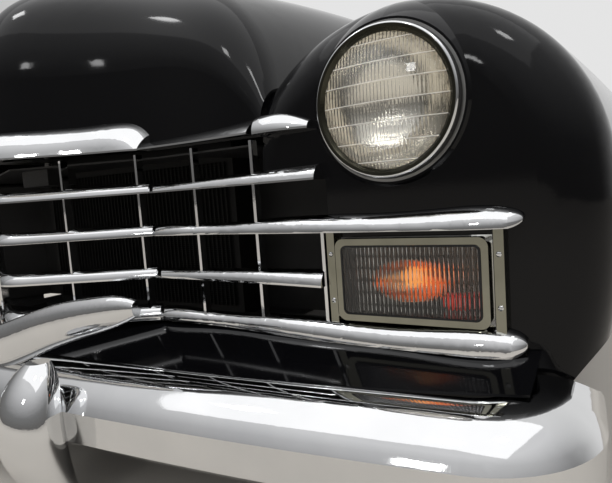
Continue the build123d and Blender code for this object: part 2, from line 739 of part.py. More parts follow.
# Bumper brackets: a flat bar from the end of each rail to the back of the bumper
bracket_nose = BUMPER_FRONT_Y + (BUMPER_KNEE_Y - BUMPER_FRONT_Y) * (RAIL_X / BUMPER_KNEE_X) ** 2
with BuildPart() as bumper_brackets:
    for side in (-1, 1):
        with Locations((side * RAIL_X, RAIL_FRONT_Y, BUMPER_CREST_Z - BUMPER_BAND)):
            Box(
                BRACKET_THICK,
                RAIL_FRONT_Y - bracket_nose - BUMPER_SHEET + 1,
                BUMPER_BAND - BRACKET_DROP,
                align=(Align.CENTER, Align.MAX, Align.MIN),
            )
        with Locations((side * RAIL_X, RAIL_FRONT_Y, 0)):
            Box(
                RAIL_WIDTH,
                BRACKET_THICK,
                RAIL_HEIGHT,
                align=(Align.CENTER, Align.MAX, Align.MIN),
            )
    add(bumper_face_bar.part, mode=Mode.SUBTRACT)
bumper_brackets.part.label = "bumper_brackets"
export_step(bumper_brackets.part, "parts/bumper_brackets.step")

# Splash panel: the sloping pan from the bottom bar forward to the bumper
bow_sag = BUMPER_KNEE_Y - BUMPER_FRONT_Y
bow_radius = (BUMPER_KNEE_X**2 + bow_sag**2) / (2 * bow_sag)
with BuildPart() as splash_panel:
    with BuildSketch(Plane.YZ.offset(-SPLASH_HALF)):
        with BuildLine() as outline:
            Polyline(
                (FACE_Y - SPLASH_CLEAR, SPLASH_BACK_Z),
                (BUMPER_FRONT_Y + SPLASH_LEAD, SPLASH_FRONT_Z),
                (BUMPER_FRONT_Y + SPLASH_LEAD, SPLASH_FRONT_Z - SHEET),
                (FACE_Y - SPLASH_CLEAR, SPLASH_BACK_Z - SHEET),
                close=True,
            )
        make_face(outline.edges())
    extrude(amount=2 * SPLASH_HALF)
    add(bumper_block, mode=Mode.SUBTRACT)
    for bar in bars.values():
        add(bar, mode=Mode.SUBTRACT)
    # its front edge follows the bumper's bow, just behind the bumper's upper edge
    with Locations((0, BUMPER_FRONT_Y + BUMPER_REACH + bow_radius, SPLASH_FRONT_Z)):
        Cylinder(bow_radius, TRIM_HEIGHT, mode=Mode.INTERSECT)
splash_panel.part.label = "splash_panel"
export_step(splash_panel.part, "parts/splash_panel.step")

# Radiator on the cross member, its support panel and the lock plate over the grille
with BuildPart() as radiator_core:
    with Locations((0, CROSS_Y, CROSS_HEIGHT)):
        Box(CORE_WIDTH, CORE_DEPTH, CORE_HEIGHT, align=(Align.CENTER, Align.CENTER, Align.MIN))
    with Locations((0, CROSS_Y, CROSS_HEIGHT + CORE_HEIGHT)):
        Box(CORE_WIDTH, CORE_DEPTH, TANK_HEIGHT, align=(Align.CENTER, Align.CENTER, Align.MIN))
    fillet(radiator_core.edges().group_by(Axis.Z)[-1].filter_by(Axis.X), CORE_DEPTH / 3)
radiator_core.part.label = "radiator_core"
export_step(radiator_core.part, "parts/radiator_core.step")

support_y = CROSS_Y + CORE_DEPTH / 2
with BuildPart() as radiator_support:
    with BuildSketch(Plane.XZ.offset(-support_y)):
        with Locations((0, CROSS_HEIGHT)):
            Rectangle(2 * SUPPORT_HALF, SUPPORT_TOP - CROSS_HEIGHT, align=(Align.CENTER, Align.MIN))
        with Locations((0, CROSS_HEIGHT + CORE_HEIGHT / 2)):
            Rectangle(CORE_WIDTH - 2 * SUPPORT_LAP, CORE_HEIGHT - 2 * SUPPORT_LAP, mode=Mode.SUBTRACT)
    extrude(amount=-SHEET)
    # a baffle on each side leads the air in from the edge of the grille's opening
    with BuildSketch(Plane.XY.offset(CROSS_HEIGHT)):
        for side in (-1, 1):
            with BuildLine() as outline:
                Polyline(
                    (side * (SUPPORT_HALF - SHEET), support_y),
                    (side * SUPPORT_HALF, support_y),
                    (side * (GRILLE_HALF + BAFFLE_LAP), FACE_Y + SHEET),
                    (side * (GRILLE_HALF + BAFFLE_LAP - SHEET), FACE_Y + SHEET),
                    close=True,
                )
            make_face(outline.edges())
    extrude(amount=APRON_TOP_Z - SHEET - CROSS_HEIGHT)
    add(frame_rails.part, mode=Mode.SUBTRACT)
radiator_support.part.label = "radiator_support"
export_step(radiator_support.part, "parts/radiator_support.step")

with BuildPart() as lock_plate:
    with BuildSketch(Plane.XY.offset(LOCK_PLATE_Z)):
        with BuildLine() as outline:
            Polyline(
                (-SUPPORT_HALF, support_y),
                (SUPPORT_HALF, support_y),
                (SUPPORT_HALF, FACE_Y + SHEET),
                (VALLEY_X, VALLEY_Y + LOCK_PLATE_SETBACK),
                (0, PROW_Y + LOCK_PLATE_SETBACK + 24),
                (-VALLEY_X, VALLEY_Y + LOCK_PLATE_SETBACK),
                (-SUPPORT_HALF, FACE_Y + SHEET),
                close=True,
            )
        make_face(outline.edges())
        with Locations((0, (support_y + LAMP_Y) / 2 + LOCK_WINDOW_SHIFT)):
            Rectangle(CORE_WIDTH, LOCK_WINDOW_DEPTH, mode=Mode.SUBTRACT)
    extrude(amount=SHEET)
    with Locations((0, LATCH_Y, LOCK_PLATE_Z)):
        Cylinder(STRIKER_R + STRIKER_GAP, 4 * SHEET, mode=Mode.SUBTRACT)
    add(radiator_core.part, mode=Mode.SUBTRACT)
    add(radiator_support.part, mode=Mode.SUBTRACT)
lock_plate.part.label = "lock_plate"
export_step(lock_plate.part, "parts/lock_plate.step")

# Fender aprons: the wall between the engine bay and the wheel, with an arched top
for side, name in ((1, "left"), (-1, "right")):
    with BuildPart() as apron:
        with BuildSketch(Plane.YZ.offset(side * SUPPORT_HALF)):
            with BuildLine() as outline:
                Polyline(
                    (support_y, CROSS_HEIGHT),
                    (support_y, APRON_TOP_Z),
                    (COWL_Y, APRON_TOP_Z),
                    (COWL_Y, CROSS_HEIGHT),
                    close=True,
                )
            make_face(outline.edges())
            with Locations((ARCH_Y, ARCH_Z)):
                Circle(ARCH_R - APRON_ARCH_GAP, mode=Mode.SUBTRACT)
        extrude(amount=side * SHEET)
        # the flange under the fender's seam wall
        with Locations((side * SUPPORT_HALF, FACE_Y + FENDER_NOSE_R, APRON_TOP_Z)):
            Box(
                FENDER_IN + SHEET - SUPPORT_HALF,
                COWL_Y - FACE_Y - FENDER_NOSE_R,
                SHEET,
                align=(Align.MIN if side > 0 else Align.MAX, Align.MIN, Align.MAX),
            )
    apron.part.label = f"fender_apron_{name}"
    export_step(apron.part, f"parts/fender_apron_{name}.step")

# Hood hinges: a plate and pin on each apron's rear corner, and an arm under the hood
for side, name in ((1, "left"), (-1, "right")):
    with BuildPart() as bracket:
        with Locations((side * (SUPPORT_HALF - HINGE_PLATE / 2), HINGE_Y, HINGE_Z + HINGE_EYE_R)):
            Box(
                HINGE_PLATE,
                HINGE_PLATE_SIZE,
                HINGE_Z - APRON_TOP_Z + 2 * HINGE_EYE_R,
                align=(Align.CENTER, Align.CENTER, Align.MAX),
            )
        with BuildSketch(Plane.YZ.offset(side * HINGE_X)):
            with Locations((HINGE_Y, HINGE_Z)):
                Circle(HINGE_PIN_R)
        extrude(amount=side * (SUPPORT_HALF - HINGE_X - HINGE_PLATE))
    bracket.part.label = f"hood_hinge_bracket_{name}"
    export_step(bracket.part, f"parts/{bracket.part.label}.step")
    with BuildPart() as arm:
        with BuildSketch(Plane.YZ.offset(side * (HINGE_X + HINGE_ARM_GAP))):
            with Locations((HINGE_Y, HINGE_Z)):
                Circle(HINGE_EYE_R)
                Rectangle(2 * HINGE_EYE_R, TRIM_HEIGHT, align=(Align.CENTER, Align.MIN))
                Circle(HINGE_PIN_R + HINGE_GAP, mode=Mode.SUBTRACT)
        extrude(amount=side * HINGE_ARM)
        add(hood_cavity, mode=Mode.INTERSECT)
        add(hood_brace.part, mode=Mode.SUBTRACT)
    arm.part.label = f"hood_hinge_arm_{name}"
    export_step(arm.part, f"parts/{arm.part.label}.step")

# Latch: a striker pin on a shelf inside the hood's nose, and its housing below
with BuildPart() as hood_striker:
    with BuildSketch(Plane.XY.offset(HOOD_LIP_Z)):
        with Locations((0, LATCH_Y + 2 * STRIKER_R)):
            Rectangle(STRIKER_WIDTH, LATCH_WIDTH + LATCH_DEPTH, align=(Align.CENTER, Align.MAX))
    extrude(amount=STRIKER_SHELF)
    add(hood_cavity, mode=Mode.INTERSECT)
    with BuildSketch(Plane.XY.offset(LOCK_PLATE_Z - STRIKER_REACH)):
        with Locations((0, LATCH_Y)):
            Circle(STRIKER_R)
    extrude(amount=HOOD_LIP_Z - LOCK_PLATE_Z + STRIKER_REACH)
hood_striker.part.label = "hood_striker"
export_step(hood_striker.part, "parts/hood_striker.step")

with BuildPart() as hood_latch:
    with Locations((0, LATCH_Y, LOCK_PLATE_Z)):
        Box(LATCH_WIDTH, LATCH_DEPTH, LATCH_HEIGHT, align=(Align.CENTER, Align.CENTER, Align.MAX))
        Cylinder(
            STRIKER_R + STRIKER_GAP,
            LATCH_HEIGHT,
            align=(Align.CENTER, Align.CENTER, Align.MAX),
            mode=Mode.SUBTRACT,
        )
hood_latch.part.label = "hood_latch"
export_step(hood_latch.part, "parts/hood_latch.step")
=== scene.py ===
import math

import bmesh
import bpy
from mathutils import Matrix, Vector


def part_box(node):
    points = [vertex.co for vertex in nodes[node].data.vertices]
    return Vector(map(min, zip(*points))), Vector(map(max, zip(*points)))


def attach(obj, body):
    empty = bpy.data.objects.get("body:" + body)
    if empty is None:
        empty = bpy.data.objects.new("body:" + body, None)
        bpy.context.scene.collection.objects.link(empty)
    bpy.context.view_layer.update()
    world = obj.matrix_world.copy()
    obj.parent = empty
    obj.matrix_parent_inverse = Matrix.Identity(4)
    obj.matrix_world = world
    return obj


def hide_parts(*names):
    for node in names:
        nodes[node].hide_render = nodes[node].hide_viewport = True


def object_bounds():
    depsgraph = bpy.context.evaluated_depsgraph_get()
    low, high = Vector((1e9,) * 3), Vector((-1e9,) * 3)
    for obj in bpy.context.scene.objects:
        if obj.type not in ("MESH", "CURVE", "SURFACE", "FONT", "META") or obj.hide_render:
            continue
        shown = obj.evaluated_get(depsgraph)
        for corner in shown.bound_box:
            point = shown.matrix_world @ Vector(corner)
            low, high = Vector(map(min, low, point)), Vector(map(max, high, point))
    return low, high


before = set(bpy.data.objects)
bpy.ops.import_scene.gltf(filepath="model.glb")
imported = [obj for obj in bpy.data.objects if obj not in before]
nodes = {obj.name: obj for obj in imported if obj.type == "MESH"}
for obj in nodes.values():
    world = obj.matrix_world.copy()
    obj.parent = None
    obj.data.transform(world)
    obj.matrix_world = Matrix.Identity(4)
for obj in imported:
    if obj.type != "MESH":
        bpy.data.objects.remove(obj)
cad_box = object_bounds()


# Camera. It stands low and close, ahead of the car's left headlamp, and looks back and
# inwards along the grille through a wide lens, a little out of level.
ring_low, ring_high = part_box("headlamp_ring_left")
ring_setback = 0.004
lamp_centre = (Vector(ring_low) + Vector(ring_high)) / 2
lamp_centre[1] = ring_high[1] - ring_setback
camera_offset = Vector((0.2816, -0.6748, -0.1063))
camera_place = lamp_centre + camera_offset
camera_angles = (31.73, 5.43, 4.13)
yaw, pitch, roll = (math.radians(angle) for angle in camera_angles)
ahead = Vector(
    (-math.sin(yaw) * math.cos(pitch), math.cos(yaw) * math.cos(pitch), -math.sin(pitch))
)
level = Vector((math.cos(yaw), math.sin(yaw), 0))
upright = level.cross(ahead)
camera_right = math.cos(roll) * level - math.sin(roll) * upright
camera_up = math.sin(roll) * level + math.cos(roll) * upright
camera_data = bpy.data.cameras.new("camera")
camera_lens = 32.03
camera_data.lens = camera_lens
camera_data.clip_start = 0.02
camera = bpy.data.objects.new("camera", camera_data)
turn = Matrix((camera_right, camera_up, -ahead)).transposed().to_4x4()
camera.matrix_world = Matrix.Translation(camera_place) @ turn
bpy.context.collection.objects.link(camera)
bpy.context.scene.camera = camera
bpy.context.scene.view_settings.view_transform = "Standard"


# Body panels. Hood, fenders and splash panel are pressed steel in deep black lacquer,
# sprayed, flatted and polished by hand, so it has a faint ripple and a little dust.
def new_material(name):
    """A material, its node tree and its principled shader."""
    material = bpy.data.materials.new(name)
    material.use_nodes = True
    tree = material.node_tree
    return material, tree, tree.nodes["Principled BSDF"]


# how deep the fine marks are beside the slow ripple
mark_share = 0.04


def surface_group():
    """Height, roughness and a soft cloud for a rubbed surface, as one shared group."""
    group = bpy.data.node_groups.new("rubbed_surface", "ShaderNodeTree")
    inputs = (("Ripple Scale", 9.0), ("Mark Scale", 260.0), ("Roughness", 0.08), ("Spread", 0.05))
    for name, default in inputs:
        socket = group.interface.new_socket(name, in_out="INPUT", socket_type="NodeSocketFloat")
        socket.default_value = default
    for name in ("Roughness", "Height", "Cloud"):
        group.interface.new_socket(name, in_out="OUTPUT", socket_type="NodeSocketFloat")
    make, link = group.nodes.new, group.links.new
    given = make("NodeGroupInput")
    result = make("NodeGroupOutput")
    place = make("ShaderNodeTexCoord")
    ripple = make("ShaderNodeTexNoise")
    ripple.inputs["Detail"].default_value = 3
    marks = make("ShaderNodeTexNoise")
    marks.inputs["Detail"].default_value = 4
    spread = make("ShaderNodeMath")
    spread.operation = "MULTIPLY"
    rough = make("ShaderNodeMath")
    rough.operation = "ADD"
    height = make("ShaderNodeMath")
    height.operation = "MULTIPLY_ADD"
    height.inputs[1].default_value = mark_share
    for texture, scale in ((ripple, "Ripple Scale"), (marks, "Mark Scale")):
        link(place.outputs["Object"], texture.inputs["Vector"])
        link(given.outputs[scale], texture.inputs["Scale"])
    link(marks.outputs["Fac"], spread.inputs[0])
    link(given.outputs["Spread"], spread.inputs[1])
    link(spread.outputs[0], rough.inputs[0])
    link(given.outputs["Roughness"], rough.inputs[1])
    link(marks.outputs["Fac"], height.inputs[0])
    link(ripple.outputs["Fac"], height.inputs[2])
    link(rough.outputs[0], result.inputs["Roughness"])
    link(height.outputs[0], result.inputs["Height"])
    link(ripple.outputs["Fac"], result.inputs["Cloud"])
    return group


rubbed = surface_group()


def rub(tree, shader, ripple, marks, roughness, spread, depth, dark, light):
    """Colour between two shades, roughness and bump for one material from the group."""
    group = tree.nodes.new("ShaderNodeGroup")
    group.node_tree = rubbed
    values = {
        "Ripple Scale": ripple,
        "Mark Scale": marks,
        "Roughness": roughness,
        "Spread": spread,
    }
    for name, value in values.items():
        group.inputs[name].default_value = value
    bump = tree.nodes.new("ShaderNodeBump")
    bump.inputs["Distance"].default_value = depth
    colour = tree.nodes.new("ShaderNodeMix")
    colour.data_type = "RGBA"
    colour.inputs["A"].default_value = (*dark, 1)
    colour.inputs["B"].default_value = (*light, 1)
    tree.links.new(group.outputs["Cloud"], colour.inputs["Factor"])
    tree.links.new(colour.outputs["Result"], shader.inputs["Base Color"])
    tree.links.new(group.outputs["Roughness"], shader.inputs["Roughness"])
    tree.links.new(group.outputs["Height"], bump.inputs["Height"])
    tree.links.new(bump.outputs["Normal"], shader.inputs["Normal"])


def dress(material, *names):
    """Puts a material on carried pieces."""
    for name in names:
        for slot in nodes[name].material_slots:
            slot.material = material


lacquer, tree, shader = new_material("black_lacquer")
shader.inputs["Specular IOR Level"].default_value = 0.24
rub(
    tree,
    shader,
    ripple=4.0,
    marks=380.0,
    roughness=0.05,
    spread=0.05,
    depth=0.0003,
    dark=(0.002, 0.002, 0.0025),
    light=(0.005, 0.005, 0.006),
)
dress(lacquer, "hood_panel", "fender_left", "fender_right", "splash_panel")


# Inner panels. Plain pressed sheet in satin black: the hood's brace, the aprons, the
# radiator's support with its baffles, the lock plate, and the chassis below them.
satin, tree, shader = new_material("satin_black")
rub(
    tree,
    shader,
    ripple=16.0,
    marks=140.0,
    roughness=0.42,
    spread=0.2,
    depth=0.0006,
    dark=(0.008, 0.008, 0.009),
    light=(0.024, 0.023, 0.022),
)
dress(satin, "hood_brace", "fender_apron_left", "fender_apron_right", "radiator_support")
dress(satin, "lock_plate", "frame_rails", "bumper_brackets")


# Hinges, latch and lamp buckets. Zinc-plated steel, grey and slightly mottled, bolted to
# the aprons, the hood and the fenders. The latch is painted black with its lock plate.
zinc, tree, shader = new_material("zinc_plate")
shader.inputs["Metallic"].default_value = 1.0
rub(
    tree,
    shader,
    ripple=30.0,
    marks=300.0,
    roughness=0.30,
    spread=0.18,
    depth=0.0003,
    dark=(0.20, 0.20, 0.19),
    light=(0.42, 0.42, 0.42),
)
for side in ("left", "right"):
    dress(zinc, f"hood_hinge_arm_{side}", f"hood_hinge_bracket_{side}", f"headlamp_bucket_{side}")
dress(zinc, "hood_striker")
dress(satin, "hood_latch")


# Grille. Rolled and die-cast bars, plated bright, with a dished top bar on the hood and
# blades between. The two long bars run on round the fenders and end in rounded noses.
chrome, tree, shader = new_material("chrome_plate")
shader.inputs["Metallic"].default_value = 1.0
rub(
    tree,
    shader,
    ripple=11.0,
    marks=480.0,
    roughness=0.02,
    spread=0.05,
    depth=0.0004,
    dark=(0.70, 0.71, 0.72),
    light=(0.86, 0.86, 0.86),
)
dress(chrome, "grille_top_bar", "grille_uprights", "grille_end_left", "grille_end_right")
dress(chrome, *(f"grille_bar_{number}" for number in (2, 4)))


def finish_piece(piece, material, body):
    """Gives a new piece its material and its body."""
    piece.data.materials.clear()
    piece.data.materials.append(material)
    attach(piece, body)


same_place = 1e-6


def piece_from(name, form, smooth=True):
    """A linked object from a bmesh, with its faces turned outwards."""
    bmesh.ops.remove_doubles(form, verts=form.verts, dist=same_place)
    bmesh.ops.recalc_face_normals(form, faces=form.faces)
    mesh = bpy.data.meshes.new(name)
    form.to_mesh(mesh)
    form.free()
    mesh.polygons.foreach_set("use_smooth", [smooth] * len(mesh.polygons))
    piece = bpy.data.objects.new(name, mesh)
    bpy.context.collection.objects.link(piece)
    return piece


# the nose goes on leaning back and narrowing as the bar does where it is cut
nose_length = 0.016
nose_steps = 8
nose_lean = 0.4
nose_narrowing = 0.21
crease_angle = math.radians(32)


def join_rims(form, first, second):
    """A band of faces between two loops of the same length."""
    for k, vertex in enumerate(first):
        n = (k + 1) % len(first)
        form.faces.new((vertex, first[n], second[n], second[k]))


def nose_on(form, sign):
    """Cuts the square end off a long bar and closes it with a rounded nose."""
    cut = max(sign * vertex.co[0] for vertex in form.verts) - nose_length
    sliced = bmesh.ops.bisect_plane(
        form,
        geom=form.verts[:] + form.edges[:] + form.faces[:],
        plane_co=(sign * cut, 0, 0),
        plane_no=(sign, 0, 0),
        clear_outer=True,
    )
    rim = [edge for edge in sliced["geom_cut"] if isinstance(edge, bmesh.types.BMEdge)]
    ring = [rim[0].verts[0]]
    while rim:
        edge = next(edge for edge in rim if ring[-1] in edge.verts)
        rim.remove(edge)
        ring.append(edge.other_vert(ring[-1]))
    ring.pop()
    low = min(vertex.co[2] for vertex in ring)
    high = max(vertex.co[2] for vertex in ring)
    near = min(vertex.co[1] for vertex in ring)
    far = max(vertex.co[1] for vertex in ring)
    middle = Vector((sign * cut, (near + far) / 2, (low + high) / 2))
    reaches = [vertex.co - middle for vertex in ring]
    for step in range(1, nose_steps):
        turn = math.pi / 2 * step / nose_steps
        along = nose_length * math.sin(turn)
        share = math.cos(turn) * (1 - nose_narrowing * math.sin(turn))
        heart = middle + Vector((sign * along, nose_lean * along, 0))
        further = [form.verts.new(heart + share * reach) for reach in reaches]
        join_rims(form, ring, further)
        ring = further
    point = form.verts.new(middle + Vector((sign * nose_length, nose_lean * nose_length, 0)))
    for k, vertex in enumerate(ring):
        form.faces.new((vertex, ring[(k + 1) % len(ring)], point))


for number in (3, 5):
    form = bmesh.new()
    form.from_mesh(nodes[f"grille_bar_{number}"].data)
    bmesh.ops.remove_doubles(form, verts=form.verts, dist=same_place)
    nose_on(form, 1)
    nose_on(form, -1)
    for edge in form.edges:
        if len(edge.link_faces) == 2 and edge.calc_face_angle() > crease_angle:
            edge.smooth = False
    bar = piece_from(f"grille_bar_{number}_nosed", form)
    finish_piece(bar, chrome, "front_end")
    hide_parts(f"grille_bar_{number}")


# Bumper. One heavy pressed and plated bar with a raised wing over its middle and two
# upright guards, on the same bright plate as the grille.
dress(chrome, "bumper_face_bar", "bumper_wing", "bumper_guard_left", "bumper_guard_right")


# Headlamp glass. One moulded sealed-beam lens: a shallow dome, smooth outside, with
# upright flutes inside in bands that level ribs divide, held by a plated rim.
def lens_slab(columns, rows, front, back):
    """A closed slab whose two faces are grids; front and back give a corner's place."""
    form = bmesh.new()
    faces = []
    for place in (front, back):
        grid = []
        for i in range(columns + 1):
            u = 2 * i / columns - 1
            grid.append([form.verts.new(place(u, 2 * j / rows - 1)) for j in range(rows + 1)])
        faces.append(grid)
    for grid in faces:
        for i in range(columns):
            for j in range(rows):
                form.faces.new((grid[i][j], grid[i + 1][j], grid[i + 1][j + 1], grid[i][j + 1]))
    edges = []
    for grid in faces:
        edge = [grid[i][0] for i in range(columns)]
        edge += [grid[columns][j] for j in range(rows)]
        edge += [grid[i][rows] for i in range(columns, 0, -1)]
        edge += [grid[0][j] for j in range(rows, 0, -1)]
        edges.append(edge)
    join_rims(form, *edges)
    return form


lamp_glass, tree, shader = new_material("lamp_glass")
shader.inputs["Transmission Weight"].default_value = 1.0
shader.inputs["IOR"].default_value = 1.47
rub(
    tree,
    shader,
    ripple=30.0,
    marks=300.0,
    roughness=0.0,
    spread=0.02,
    depth=0.0001,
    dark=(0.95, 0.95, 0.92),
    light=(1.0, 1.0, 0.99),
)

silver, tree, shader = new_material("silvered_bowl")
shader.inputs["Metallic"].default_value = 1.0
rub(
    tree,
    shader,
    ripple=30.0,
    marks=160.0,
    roughness=0.04,
    spread=0.08,
    depth=0.0035,
    dark=(0.86, 0.82, 0.74),
    light=(0.99, 0.97, 0.92),
)
dress(silver, "headlamp_reflector_left", "headlamp_reflector_right")
dress(chrome, "headlamp_ring_left", "headlamp_ring_right")

rubber, tree, shader = new_material("black_rubber")
rub(
    tree,
    shader,
    ripple=60.0,
    marks=500.0,
    roughness=0.6,
    spread=0.2,
    depth=0.0003,
    dark=(0.010, 0.010, 0.010),
    light=(0.022, 0.022, 0.022),
)

# The rib crests' pale colour and faint glow are a painted highlight: the light the clear ribs
# catch.
crest_highlight, tree, shader = new_material("crest_painted_highlight")
shader.inputs["Emission Strength"].default_value = 0.12
shader.inputs["Emission Color"].default_value = (1.0, 0.93, 0.84, 1)
rub(
    tree,
    shader,
    ripple=40.0,
    marks=700.0,
    roughness=0.25,
    spread=0.2,
    depth=0.0002,
    dark=(0.80, 0.76, 0.70),
    light=(0.98, 0.96, 0.92),
)

# The retaining band is plated metal; its dark olive colour is a painted reflection of dark
# surroundings.
band_painted_reflection, tree, shader = new_material("retaining_band_painted_dark")
shader.inputs["Metallic"].default_value = 1.0
rub(
    tree,
    shader,
    ripple=24.0,
    marks=400.0,
    roughness=0.16,
    spread=0.12,
    depth=0.0003,
    dark=(0.035, 0.034, 0.024),
    light=(0.075, 0.072, 0.055),
)

glass_thickness = 0.004
flute_pitch = 0.0050
flute_depth = 0.0015
band_pitch = 0.0255
rib_width = 0.0012
rib_depth = 0.0014
lens_cells = 184
crest_half_height = 0.0004
crest_stand = 0.0003
crest_steps = 48
ribs_above = 3
rim_fade = 14
band_lap = 0.0046
band_stand = 0.0010
band_foot = 0.0009
band_set_in = 0.0030
band_lip = 0.0004
band_back_gap = 0.0006
sleeve_start = 0.0056
sleeve_lip = 0.0001
sleeve_wall = 0.0009
sleeve_flare = 0.0012
sleeve_lap = 0.0008
sleeve_past = 0.0004
ring_turns = 128


def headlamp_glass(side):
    """The domed lens of one headlamp, in place of the plain one."""
    low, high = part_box(f"headlamp_lens_{side}")
    radius = (high[0] - low[0]) / 2
    centre_x, centre_z = (low[0] + high[0]) / 2, (low[2] + high[2]) / 2
    crown = high[1] - low[1] - glass_thickness

    def on_disc(u, v):
        return radius * u * math.sqrt(1 - v * v / 2), radius * v * math.sqrt(1 - u * u / 2)

    def front(u, v):
        x, z = on_disc(u, v)
        share = (x * x + z * z) / radius**2
        return centre_x + x, low[1] + crown * share, centre_z + z

    def back(u, v):
        x, z = on_disc(u, v)
        share = (x * x + z * z) / radius**2
        # the flutes step half a pitch from band to band and fade out at the rim
        band = math.floor(z / band_pitch)
        flute = abs(math.sin(math.pi * (x / flute_pitch + 0.5 * (band % 2))))
        to_rib = abs(z - band_pitch * round(z / band_pitch))
        rib = max(0.0, 1 - to_rib / rib_width)
        edge = min(1.0, rim_fade * (1 - share))
        cut = edge * (flute_depth * flute * (1 - rib) + rib_depth * rib)
        return centre_x + x, low[1] + crown * share + glass_thickness - cut, centre_z + z

    slab = lens_slab(lens_cells, lens_cells, front, back)
    glass = piece_from(f"headlamp_glass_{side}", slab)
    finish_piece(glass, lamp_glass, "front_end")
    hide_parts(f"headlamp_lens_{side}")

    # the level ribs' crests, one curved strip each across the dome, pale with a faint glow as a
    # painted highlight
    form = bmesh.new()
    clear = radius - band_lap
    for step in range(-ribs_above, ribs_above + 1):
        z = step * band_pitch
        reach = math.sqrt(clear * clear - z * z)
        strips = []
        for k in range(crest_steps + 1):
            x = reach * (2 * k / crest_steps - 1)
            y = low[1] + crown * (x * x + z * z) / radius**2
            corners = []
            for tall, deep in ((-1, 1), (-1, -1), (1, -1), (1, 1)):
                corner_y = y + deep * crest_stand
                corner_z = centre_z + z + tall * crest_half_height
                corners.append(form.verts.new((centre_x + x, corner_y, corner_z)))
            strips.append(corners)
        for near, far in zip(strips, strips[1:]):
            join_rims(form, near, far)
        form.faces.new(strips[0])
        form.faces.new(strips[-1])
    crests = piece_from(f"headlamp_rib_crests_{side}", form, smooth=False)
    finish_piece(crests, crest_highlight, "front_end")

    # the band that holds the glass, a cone from the bright rim down to the glass, its dark
    # olive colour a painted reflection, and the rubber sleeve that seals the rim's outside
    # against the fender; each row of a section is a radius and a depth
    ring_low, ring_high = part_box(f"headlamp_ring_{side}")
    rim_radius = (ring_high[0] - ring_low[0]) / 2
    inner = radius - band_lap
    at_glass = low[1] + crown * (inner / radius) ** 2
    band = (
        (rim_radius - band_set_in, ring_low[1] - band_lip),
        (radius - band_lip, ring_low[1] + band_lip / 2),
        (inner, at_glass - band_foot),
        (inner, at_glass + band_stand),
        (radius - band_back_gap, low[1] + crown + band_stand),
        (rim_radius - band_set_in, ring_low[1] + band_set_in),
    )
    sleeve = (
        (rim_radius + sleeve_lip, ring_low[1] + sleeve_start),
        (rim_radius + sleeve_wall, ring_low[1] + sleeve_start + sleeve_lap),
        (rim_radius + sleeve_flare, ring_high[1] + sleeve_past),
        (rim_radius - sleeve_lap, ring_high[1] + sleeve_past),
        (rim_radius - sleeve_lap, ring_low[1] + sleeve_start),
    )
    for name, section, finish in (("band", band, band_painted_reflection), ("seal", sleeve, rubber)):
        form = bmesh.new()
        loops = []
        for k in range(ring_turns):
            angle = 2 * math.pi * k / ring_turns
            loop = []
            for r, y in section:
                x, z = r * math.cos(angle), r * math.sin(angle)
                loop.append(form.verts.new((centre_x + x, y, centre_z + z)))
            loops.append(loop)
        for k, loop in enumerate(loops):
            join_rims(form, loop, loops[(k + 1) % ring_turns])
        piece = piece_from(f"headlamp_{name}_{side}", form, smooth=False)
        finish_piece(piece, finish, "front_end")


for side in ("left", "right"):
    headlamp_glass(side)


# Parking lamps. A rounded plated frame with a moulded lens, upright flutes crossed by
# thin level lines, over a tray with an amber bulb and a small red bead with a painted glow.
amber, tree, shader = new_material("amber_bulb")
shader.inputs["Emission Strength"].default_value = 0.8
shader.inputs["Emission Color"].default_value = (1.0, 0.33, 0.07, 1)
rub(
    tree,
    shader,
    ripple=60.0,
    marks=300.0,
    roughness=0.08,
    spread=0.1,
    depth=0.0002,
    dark=(0.9, 0.22, 0.02),
    light=(1.0, 0.5, 0.12),
)
dress(amber, "parking_lamp_bulb_left", "parking_lamp_bulb_right")

# The frame's dim olive colour is a painted reflection of dark surroundings on bright plate.
frame_painted_reflection, tree, shader = new_material("plate_painted_dim_reflection")
shader.inputs["Metallic"].default_value = 1.0
rub(
    tree,
    shader,
    ripple=20.0,
    marks=420.0,
    roughness=0.04,
    spread=0.08,
    depth=0.0004,
    dark=(0.20, 0.20, 0.155),
    light=(0.36, 0.35, 0.29),
)
dress(frame_painted_reflection, "parking_lamp_frame_left", "parking_lamp_frame_right")

# The tray's dark brown colour is painted shade, the dimness inside the lamp's housing.
tray_painted_shade, tree, shader = new_material("tray_in_painted_shade")
shader.inputs["Metallic"].default_value = 1.0
rub(
    tree,
    shader,
    ripple=18.0,
    marks=220.0,
    roughness=0.16,
    spread=0.16,
    depth=0.0004,
    dark=(0.022, 0.015, 0.010),
    light=(0.060, 0.036, 0.022),
)

# The dish's amber colour and faint glow are a painted glow, standing in for the bulb's light; the
# dish is no lamp.
dish_painted_glow, tree, shader = new_material("amber_dish_painted_glow")
shader.inputs["Metallic"].default_value = 1.0
shader.inputs["Emission Strength"].default_value = 0.03
shader.inputs["Emission Color"].default_value = (1.0, 0.22, 0.03, 1)
rub(
    tree,
    shader,
    ripple=45.0,
    marks=260.0,
    roughness=0.12,
    spread=0.16,
    depth=0.003,
    dark=(0.45, 0.16, 0.05),
    light=(0.88, 0.48, 0.22),
)

# The bead is red in its own right; its glow is painted light, for it is no lamp.
red_bead_glow, tree, shader = new_material("red_bead_glowing")
shader.inputs["Emission Strength"].default_value = 0.28
shader.inputs["Emission Color"].default_value = (0.9, 0.03, 0.01, 1)
rub(
    tree,
    shader,
    ripple=60.0,
    marks=300.0,
    roughness=0.08,
    spread=0.1,
    depth=0.0002,
    dark=(0.55, 0.02, 0.01),
    light=(0.8, 0.06, 0.03),
)

park_flute_pitch = 0.0060
park_flute_depth = 0.0015
park_line_pitch = 0.0165
park_line_depth = 0.0009
park_line_width = 0.0009
park_corner = 0.008
park_columns, park_rows = 264, 92


